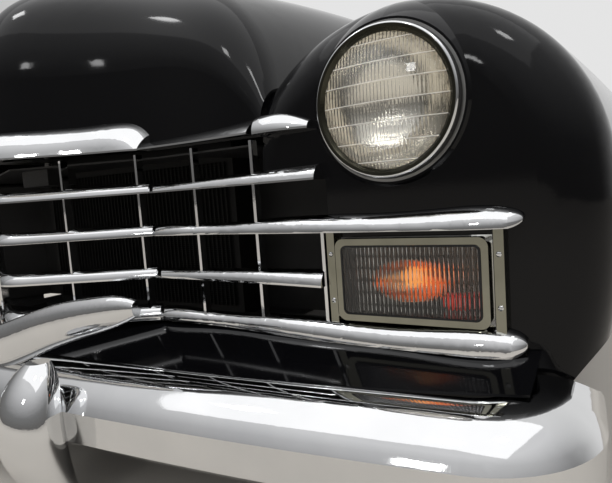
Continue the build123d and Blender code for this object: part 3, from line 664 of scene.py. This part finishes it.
def parking_glass(side):
    """The fluted lens of one parking lamp, in place of the plain one."""
    low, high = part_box(f"parking_lamp_lens_{side}")
    half_width, half_height = (high[0] - low[0]) / 2, (high[2] - low[2]) / 2
    centre_x, centre_z = (low[0] + high[0]) / 2, (low[2] + high[2]) / 2

    def rounded(u, v):
        x, z = u * half_width, v * half_height
        over_x = max(0.0, abs(x) - (half_width - park_corner)) / park_corner
        over_z = max(0.0, abs(z) - (half_height - park_corner)) / park_corner
        if over_x and over_z:
            pull_x = park_corner * over_x * (1 - math.sqrt(1 - over_z * over_z / 2))
            pull_z = park_corner * over_z * (1 - math.sqrt(1 - over_x * over_x / 2))
            return x - math.copysign(pull_x, x), z - math.copysign(pull_z, z)
        return x, z

    def front(u, v):
        x, z = rounded(u, v)
        return centre_x + x, low[1], centre_z + z

    def back(u, v):
        x, z = rounded(u, v)
        flute = abs(math.sin(math.pi * x / park_flute_pitch))
        to_line = abs(z - park_line_pitch * round(z / park_line_pitch))
        line = max(0.0, 1 - to_line / park_line_width)
        cut = park_flute_depth * flute * (1 - line) + park_line_depth * line
        return centre_x + x, high[1] - cut, centre_z + z

    slab = lens_slab(park_columns, park_rows, front, back)
    glass = piece_from(f"parking_lamp_glass_{side}", slab)
    finish_piece(glass, lamp_glass, "front_end")
    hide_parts(f"parking_lamp_lens_{side}")


tray_wall = 0.0008
tray_gap = 0.0004
gasket_width = 0.0026
gasket_stand = 0.0007
dish_half_width = 0.052
dish_half_height = 0.030
dish_depth = 0.024
dish_wall = 0.0010
dish_shift = 0.006
dish_clearance = 0.004
dish_rise = 0.003
dish_steps = 10
dish_turns = 48
bead_radius = 0.010
bead_outboard = 0.056
bead_forward = 0.012
bead_below = 0.028
bead_shape = (0.9, 1.5, 1.2, 1)
corner_steps = 6


def rounded_rim(form, x_low, x_high, z_low, z_high, corner, y):
    """One closed loop of corners round a rounded rectangle that faces forwards."""
    rim = []
    for turn, x, z in (
        (0, x_high - corner, z_high - corner),
        (1, x_low + corner, z_high - corner),
        (2, x_low + corner, z_low + corner),
        (3, x_high - corner, z_low + corner),
    ):
        for k in range(corner_steps + 1):
            angle = math.pi / 2 * (turn + k / corner_steps)
            across, up = corner * math.cos(angle), corner * math.sin(angle)
            rim.append(form.verts.new((x + across, y, z + up)))
    return rim


def parking_tray(side):
    """The tray behind the lens, an open box darkened as painted shade, and the rubber seal round
    the lens.
    """
    low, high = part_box(f"parking_lamp_lens_{side}")
    bulb_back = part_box(f"parking_lamp_bulb_{side}")[1][1]
    front, back = high[1] + tray_gap, bulb_back - tray_wall
    form = bmesh.new()
    rims = []
    for inset, y in ((0, front), (0, back), (tray_wall, back - tray_wall), (tray_wall, front)):
        x_low, x_high = low[0] + tray_gap + inset, high[0] - tray_gap - inset
        z_low, z_high = low[2] + tray_gap + inset, high[2] - tray_gap - inset
        corner = park_corner - inset
        rims.append(rounded_rim(form, x_low, x_high, z_low, z_high, corner, y))
    for first, second in ((0, 1), (2, 3), (3, 0)):
        join_rims(form, rims[first], rims[second])
    form.faces.new(rims[1])
    form.faces.new(rims[2])
    tray = piece_from(f"parking_lamp_tray_{side}", form, smooth=False)
    finish_piece(tray, tray_painted_shade, "front_end")

    form = bmesh.new()
    rims = []
    for inset, y in (
        (0, low[1] + gasket_stand),
        (0, low[1] - gasket_stand),
        (gasket_width, low[1] - gasket_stand),
        (gasket_width, low[1] + gasket_stand),
    ):
        edges = (low[0] + inset, high[0] - inset, low[2] + inset, high[2] - inset)
        rims.append(rounded_rim(form, *edges, park_corner - inset, y))
    for first, second in ((0, 1), (1, 2), (2, 3), (3, 0)):
        join_rims(form, rims[first], rims[second])
    seal = piece_from(f"parking_lamp_seal_{side}", form, smooth=False)
    finish_piece(seal, rubber, "front_end")


def parking_dish(side, sign):
    """The amber dish around the bulb and the red bead low at the lamp's outer end, both with a
    painted glow.
    """
    low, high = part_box(f"parking_lamp_lens_{side}")
    bulb_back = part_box(f"parking_lamp_bulb_{side}")[1][1]
    centre_x = (low[0] + high[0]) / 2 - sign * dish_shift
    centre_z = (low[2] + high[2]) / 2 - dish_shift
    rim_y = bulb_back - 2 * tray_wall - dish_clearance
    form = bmesh.new()
    shells = []
    for shrink in (0.0, dish_wall):
        shell = []
        for step in range(1, dish_steps + 1):
            slope = math.pi / 2 * step / dish_steps
            y = rim_y - dish_depth * (1 - math.cos(slope)) + (dish_rise - shrink)
            loop = []
            for k in range(dish_turns):
                angle = 2 * math.pi * k / dish_turns
                x = (dish_half_width - shrink) * math.sin(slope) * math.cos(angle)
                z = (dish_half_height - shrink) * math.sin(slope) * math.sin(angle)
                loop.append(form.verts.new((centre_x + x, y, centre_z + z)))
            shell.append(loop)
        shells.append(shell)
    for shell in shells:
        for inner, outer in zip(shell, shell[1:]):
            join_rims(form, inner, outer)
        form.faces.new(shell[0])
    join_rims(form, shells[0][-1], shells[1][-1])
    dish = piece_from(f"parking_lamp_dish_{side}", form)
    finish_piece(dish, dish_painted_glow, "front_end")

    form = bmesh.new()
    bmesh.ops.create_uvsphere(form, u_segments=24, v_segments=14, radius=bead_radius)
    place = (centre_x + sign * bead_outboard, rim_y - bead_forward, centre_z - bead_below)
    form.transform(Matrix.Translation(place) @ Matrix.Diagonal(bead_shape))
    bead = piece_from(f"parking_lamp_bead_{side}", form)
    finish_piece(bead, red_bead_glow, "front_end")


for side, sign in (("left", 1), ("right", -1)):
    parking_glass(side)
    parking_tray(side)
    parking_dish(side, sign)


# Screws and bolts. Slotted dome-head screws, plated bright, hold the strips beside the
# parking lamps. Zinc-plated hexagon heads hold the lock plate and the hinge brackets.
def head_tree(name, build_head):
    """A Geometry Nodes tree that sets one head on every point, facing its own way."""
    tree = bpy.data.node_groups.new(name, "GeometryNodeTree")
    tree.interface.new_socket("Places", in_out="INPUT", socket_type="NodeSocketGeometry")
    radius = tree.interface.new_socket("Head Radius", in_out="INPUT", socket_type="NodeSocketFloat")
    metal = tree.interface.new_socket("Metal", in_out="INPUT", socket_type="NodeSocketMaterial")
    tree.interface.new_socket("Heads", in_out="OUTPUT", socket_type="NodeSocketGeometry")
    make, link = tree.nodes.new, tree.links.new
    given = make("NodeGroupInput")
    result = make("NodeGroupOutput")
    head = build_head(tree, given.outputs["Head Radius"])
    facing = make("GeometryNodeInputNamedAttribute")
    facing.data_type = "FLOAT_VECTOR"
    facing.inputs["Name"].default_value = "facing"
    aim = make("FunctionNodeAlignRotationToVector")
    aim.axis = "Z"
    put = make("GeometryNodeInstanceOnPoints")
    real = make("GeometryNodeRealizeInstances")
    paint = make("GeometryNodeSetMaterial")
    link(facing.outputs["Attribute"], aim.inputs["Vector"])
    link(given.outputs["Places"], put.inputs["Points"])
    link(head, put.inputs["Instance"])
    link(aim.outputs["Rotation"], put.inputs["Rotation"])
    link(put.outputs["Instances"], real.inputs["Geometry"])
    link(real.outputs["Geometry"], paint.inputs["Geometry"])
    link(given.outputs["Metal"], paint.inputs["Material"])
    link(paint.outputs["Geometry"], result.inputs["Heads"])
    return tree, radius, metal


def combine(tree, *parts):
    """A vector whose three numbers are sockets or plain numbers."""
    vector = tree.nodes.new("ShaderNodeCombineXYZ")
    for socket, part in zip(vector.inputs, parts):
        if isinstance(part, (int, float)):
            socket.default_value = part
        else:
            tree.links.new(part, socket)
    return vector.outputs[0]


def times(tree, socket, factor):
    """A socket's value times a number."""
    scaled = tree.nodes.new("ShaderNodeMath")
    scaled.operation = "MULTIPLY"
    scaled.inputs[1].default_value = factor
    tree.links.new(socket, scaled.inputs[0])
    return scaled.outputs[0]


dome_share = 0.55


def slotted_dome(tree, radius):
    """A flattened ball with a straight slot cut across its top."""
    ball = tree.nodes.new("GeometryNodeMeshUVSphere")
    ball.inputs["Segments"].default_value = 20
    ball.inputs["Rings"].default_value = 10
    tree.links.new(radius, ball.inputs["Radius"])
    flat = tree.nodes.new("GeometryNodeTransform")
    flat.inputs["Scale"].default_value = (1, 1, dome_share)
    tree.links.new(ball.outputs["Mesh"], flat.inputs["Geometry"])
    bar = tree.nodes.new("GeometryNodeMeshCube")
    slot_length, slot_width, slot_depth = (times(tree, radius, share) for share in (2.4, 0.26, 0.5))
    tree.links.new(combine(tree, slot_length, slot_width, slot_depth), bar.inputs["Size"])
    raised = tree.nodes.new("GeometryNodeTransform")
    lift = times(tree, radius, dome_share)
    tree.links.new(combine(tree, 0, 0, lift), raised.inputs["Translation"])
    tree.links.new(bar.outputs["Mesh"], raised.inputs["Geometry"])
    cut = tree.nodes.new("GeometryNodeMeshBoolean")
    cut.operation = "DIFFERENCE"
    tree.links.new(flat.outputs["Geometry"], cut.inputs["Mesh 1"])
    tree.links.new(raised.outputs["Geometry"], cut.inputs["Mesh 2"])
    return cut.outputs["Mesh"]


def hexagon(tree, radius):
    """A hexagon head standing on a round washer."""
    joined = tree.nodes.new("GeometryNodeJoinGeometry")
    for sides, reach, depth, lift in ((6, 1.0, 0.75, 0.62), (20, 1.35, 0.25, 0.12)):
        disc = tree.nodes.new("GeometryNodeMeshCylinder")
        disc.inputs["Vertices"].default_value = sides
        tree.links.new(times(tree, radius, reach), disc.inputs["Radius"])
        tree.links.new(times(tree, radius, depth), disc.inputs["Depth"])
        raised = tree.nodes.new("GeometryNodeTransform")
        tree.links.new(combine(tree, 0, 0, times(tree, radius, lift)), raised.inputs["Translation"])
        tree.links.new(disc.outputs["Mesh"], raised.inputs["Geometry"])
        tree.links.new(raised.outputs["Geometry"], joined.inputs["Geometry"])
    return joined.outputs["Geometry"]


def set_heads(name, made, radius, metal, places, body):
    """Heads on a list of places, each a point and the way that its head faces."""
    tree, radius_socket, metal_socket = made
    mesh = bpy.data.meshes.new(name)
    mesh.from_pydata([place for place, facing in places], [], [])
    facings = mesh.attributes.new("facing", "FLOAT_VECTOR", "POINT")
    facings.data.foreach_set("vector", [number for place, facing in places for number in facing])
    seed = bpy.data.objects.new(name + "_places", mesh)
    bpy.context.collection.objects.link(seed)
    modifier = seed.modifiers.new("heads", "NODES")
    modifier.node_group = tree
    modifier[radius_socket.identifier] = radius
    modifier[metal_socket.identifier] = metal
    piece = bpy.data.objects.new(name, mesh_of(seed))
    bpy.context.collection.objects.link(piece)
    bpy.data.objects.remove(seed)
    finish_piece(piece, metal, body)


def mesh_of(seed):
    """The plain mesh that an object's Geometry Nodes give."""
    seen = bpy.context.evaluated_depsgraph_get()
    seen.update()
    return bpy.data.meshes.new_from_object(seed.evaluated_get(seen))


screw_heads = head_tree("slotted_heads", slotted_dome)
bolt_heads = head_tree("hexagon_heads", hexagon)

strip_inset = 0.006
strip_setback = 0.006
screw_spread = 0.033
screw_radius = 0.0036
bolt_radius = 0.006
for side in ("left", "right"):
    low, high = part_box(f"parking_lamp_frame_{side}")
    middle = (low[2] + high[2]) / 2
    strip_front = low[1] + strip_setback
    places = [
        ((x, strip_front, middle + step * screw_spread), (0, -1, 0))
        for x in (low[0] + strip_inset, high[0] - strip_inset)
        for step in (-1, 1)
    ]
    name = f"strip_screws_{side}"
    set_heads(name, screw_heads, screw_radius, chrome, places, "front_end")

lock_bolt_places = (-0.44, -0.2, 0.2, 0.44)
lock_bolt_inset = 0.02
plate_low, plate_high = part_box("lock_plate")
lock_bolts = [
    ((x, plate_high[1] - lock_bolt_inset, plate_high[2]), (0, 0, 1)) for x in lock_bolt_places
]
set_heads("lock_plate_bolts", bolt_heads, bolt_radius, zinc, lock_bolts, "front_end")

bracket_wall = 0.006
hinge_bolt_inset = 0.014
for side, sign in (("left", 1), ("right", -1)):
    low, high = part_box(f"hood_hinge_bracket_{side}")
    inner_face = high[0] - bracket_wall if sign > 0 else low[0] + bracket_wall
    hinge_bolts = [
        ((inner_face, y, low[2] + hinge_bolt_inset), (-sign, 0, 0))
        for y in (low[1] + hinge_bolt_inset, high[1] - hinge_bolt_inset)
    ]
    name = f"hinge_bolts_{side}"
    set_heads(name, bolt_heads, bolt_radius, zinc, hinge_bolts, "front_end")


# Radiator. A black-painted brass core: flat upright tubes with thin level fins between,
# which show as a fine dark mesh behind the grille.
core_black, tree, shader = new_material("core_black")
shader.inputs["Metallic"].default_value = 0.3
rub(
    tree,
    shader,
    ripple=40.0,
    marks=200.0,
    roughness=0.5,
    spread=0.2,
    depth=0.0004,
    dark=(0.005, 0.005, 0.005),
    light=(0.016, 0.015, 0.014),
)
dress(core_black, "radiator_core")


def row_tree():
    """A Geometry Nodes tree that repeats one thin bar along a line."""
    tree = bpy.data.node_groups.new("bar_row", "GeometryNodeTree")
    sockets = {}
    inputs = {
        "Count": "NodeSocketInt",
        "Start": "NodeSocketVector",
        "Step": "NodeSocketVector",
        "Bar Size": "NodeSocketVector",
        "Paint": "NodeSocketMaterial",
    }
    for name, kind in inputs.items():
        sockets[name] = tree.interface.new_socket(name, in_out="INPUT", socket_type=kind)
    tree.interface.new_socket("Bars", in_out="OUTPUT", socket_type="NodeSocketGeometry")
    make, link = tree.nodes.new, tree.links.new
    given = make("NodeGroupInput")
    result = make("NodeGroupOutput")
    line = make("GeometryNodeMeshLine")
    bar = make("GeometryNodeMeshCube")
    put = make("GeometryNodeInstanceOnPoints")
    real = make("GeometryNodeRealizeInstances")
    paint = make("GeometryNodeSetMaterial")
    link(given.outputs["Count"], line.inputs["Count"])
    link(given.outputs["Start"], line.inputs["Start Location"])
    link(given.outputs["Step"], line.inputs["Offset"])
    link(given.outputs["Bar Size"], bar.inputs["Size"])
    link(line.outputs["Mesh"], put.inputs["Points"])
    link(bar.outputs["Mesh"], put.inputs["Instance"])
    link(put.outputs["Instances"], real.inputs["Geometry"])
    link(real.outputs["Geometry"], paint.inputs["Geometry"])
    link(given.outputs["Paint"], paint.inputs["Material"])
    link(paint.outputs["Geometry"], result.inputs["Bars"])
    return tree, sockets


bar_row, row_sockets = row_tree()


def bars_along(name, values, body):
    """One row of bars as a plain piece."""
    seed = bpy.data.objects.new(name + "_row", bpy.data.meshes.new(name + "_row"))
    bpy.context.collection.objects.link(seed)
    modifier = seed.modifiers.new("row", "NODES")
    modifier.node_group = bar_row
    for key, value in values.items():
        modifier[row_sockets[key].identifier] = value
    piece = bpy.data.objects.new(name, mesh_of(seed))
    bpy.context.collection.objects.link(piece)
    bpy.data.objects.remove(seed)
    finish_piece(piece, values["Paint"], body)


core_low, core_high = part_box("radiator_core")
core_margin = 0.02
top_tank = 0.07
tube_pitch = 0.011
tube_width = 0.0022
tube_depth = 0.006
fin_pitch = 0.0045
fin_depth = 0.0044
fin_thickness = 0.0005
tube_count = int((core_high[0] - core_low[0] - core_margin) / tube_pitch)
fin_low, fin_high = core_low[2] + core_margin, core_high[2] - top_tank
fin_count = int((fin_high - fin_low) / fin_pitch)
tube_start = -(tube_count - 1) * tube_pitch / 2
bars_along(
    "radiator_tubes",
    {
        "Count": tube_count,
        "Start": (tube_start, core_low[1] - tube_depth / 2, (fin_low + fin_high) / 2),
        "Step": (tube_pitch, 0, 0),
        "Bar Size": (tube_width, tube_depth, fin_high - fin_low),
        "Paint": core_black,
    },
    "front_end",
)
bars_along(
    "radiator_fins",
    {
        "Count": fin_count,
        "Start": (0, core_low[1] - fin_depth / 2, fin_low + fin_pitch / 2),
        "Step": (0, 0, fin_pitch),
        "Bar Size": (tube_count * tube_pitch, fin_depth, fin_thickness),
        "Paint": core_black,
    },
    "front_end",
)


# Air flaps. A sheet of black rubber hangs from the foot of each baffle beside the
# radiator and closes the gap down to the frame, clipped under a row of bolts.
flap_low, flap_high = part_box("radiator_support")
flap_foot = 0.016
flap_thickness = 0.004
flap_overlap = 0.012
flap_clearance = 0.0035
flap_bend = 0.02
flap_sway = 0.003
flap_waves = 5
flap_steps = 24
flap_ends = (0.02, 0.01)
flap_bolt_shares = (0.1, 0.37, 0.63, 0.9)
for side, sign in (("left", 1), ("right", -1)):
    apron_low, apron_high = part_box(f"fender_apron_{side}")
    inner_x = min(abs(apron_low[0]), abs(apron_high[0]))
    run = Vector((flap_high[0] - inner_x, flap_low[1] - flap_high[1], 0)).normalized()
    first = Vector((inner_x, flap_high[1], 0)) + flap_ends[0] * run
    last = Vector((flap_high[0], flap_low[1], 0)) - flap_ends[1] * run
    across = Vector((-run[1], run[0], 0))
    form = bmesh.new()
    heights = (
        (flap_low[2] + flap_overlap, 0.0),
        (flap_low[2] - flap_bend, 0.3),
        (flap_foot, 1.0),
    )
    rows = []
    for k in range(flap_steps + 1):
        share = k / flap_steps
        sway = flap_sway * math.sin(flap_waves * math.pi * share)
        row = []
        for z, lean in heights:
            for face in (0, 1):
                stand = flap_clearance + lean * sway + face * flap_thickness
                place = first.lerp(last, share) + across * stand
                row.append(form.verts.new((sign * place[0], place[1], z)))
        rows.append(row)
    # a closed outline, down one face and up the other
    loops = [[row[index] for index in (0, 2, 4, 5, 3, 1)] for row in rows]
    for near, far in zip(loops, loops[1:]):
        join_rims(form, near, far)
    form.faces.new(loops[0])
    form.faces.new(loops[-1])
    flap = piece_from(f"air_flap_{side}", form)
    finish_piece(flap, rubber, "front_end")
    heads = []
    for share in flap_bolt_shares:
        place = first.lerp(last, share) + across * (flap_clearance + flap_thickness)
        point = (sign * place[0], place[1], flap_low[2] + flap_overlap / 2)
        heads.append((point, (sign * across[0], across[1], 0)))
    name = f"air_flap_bolts_{side}"
    set_heads(name, bolt_heads, screw_radius, zinc, heads, "front_end")


# Studio. A plain pale floor just under the part, one broad soft lamp overhead with four
# small ones round it, and a sky that is pale above and behind and dim in front.
floor_radius = 40.0
floor_sides = 96
floor_drop = 0.002
floor_height = cad_box[0][2] - floor_drop
edge = [
    (floor_radius * math.cos(turn), floor_radius * math.sin(turn), floor_height)
    for turn in (2 * math.pi * k / floor_sides for k in range(floor_sides))
]
floor_mesh = bpy.data.meshes.new("floor")
floor_mesh.from_pydata(edge, [], [list(range(floor_sides))])
floor = bpy.data.objects.new("floor", floor_mesh)
bpy.context.collection.objects.link(floor)
floor_shade = (0.69, 0.65, 0.59, 1)
pale_floor, tree, shader = new_material("pale_floor")
shader.inputs["Base Color"].default_value = floor_shade
shader.inputs["Roughness"].default_value = 0.9
floor_mesh.materials.append(pale_floor)


def soft_lamp(name, place, target, size, power):
    """A broad rectangular lamp aimed at a point."""
    data = bpy.data.lights.new(name, "AREA")
    data.shape = "RECTANGLE"
    data.size, data.size_y = size
    data.energy = power
    lamp = bpy.data.objects.new(name, data)
    lamp.location = place
    lamp.rotation_euler = (Vector(target) - Vector(place)).to_track_quat("-Z", "Y").to_euler()
    bpy.context.collection.objects.link(lamp)


overhead_size = (8.0, 6.0)
overhead_power = 75
small_size = (0.26, 0.26)
small_power = 2.6
small_target = (0.3, -0.3, 0.4)
small_places = {
    "left": (1.7, -1.1, 2.6),
    "middle": (0.6, -1.9, 2.6),
    "right": (-0.9, -1.3, 2.6),
    "front": (0.5, -3.4, 1.7),
}
soft_lamp("overhead_lamp", (0.2, -1.0, 5.2), (0.2, -0.3, 0.3), overhead_size, overhead_power)
for name, spot in small_places.items():
    soft_lamp(f"small_lamp_{name}", spot, small_target, small_size, small_power)

world = bpy.data.worlds.new("studio")
bpy.context.scene.world = world
world.use_nodes = True
tree = world.node_tree
background = tree.nodes["Background"]
place = tree.nodes.new("ShaderNodeTexCoord")
split = tree.nodes.new("ShaderNodeSeparateXYZ")
sky = tree.nodes.new("ShaderNodeValToRGB")
tree.links.new(place.outputs["Generated"], split.inputs["Vector"])
tree.links.new(split.outputs["Z"], sky.inputs["Fac"])
horizon_shade = (0.14, 0.135, 0.13, 1)
low_sky_shade = (0.20, 0.20, 0.20, 1)
high_sky_shade = (0.74, 0.74, 0.75, 1)
backdrop_shade = (0.78, 0.78, 0.78, 1)
low_sky, high_sky = 0.22, 0.75
backdrop_start, backdrop_end = 0.12, 0.85
sky.color_ramp.elements[0].position = 0.0
sky.color_ramp.elements[0].color = horizon_shade
sky.color_ramp.elements[1].position = high_sky
sky.color_ramp.elements[1].color = high_sky_shade
middle_stop = sky.color_ramp.elements.new(low_sky)
middle_stop.color = low_sky_shade
backdrop = tree.nodes.new("ShaderNodeValToRGB")
backdrop.color_ramp.interpolation = "EASE"
backdrop.color_ramp.elements[0].position = backdrop_start
backdrop.color_ramp.elements[1].position = backdrop_end
shown = tree.nodes.new("ShaderNodeMix")
shown.data_type = "RGBA"
shown.inputs["B"].default_value = backdrop_shade
tree.links.new(split.outputs["Y"], backdrop.inputs["Fac"])
tree.links.new(backdrop.outputs["Color"], shown.inputs["Factor"])
tree.links.new(sky.outputs["Color"], shown.inputs["A"])
tree.links.new(shown.outputs["Result"], background.inputs["Color"])
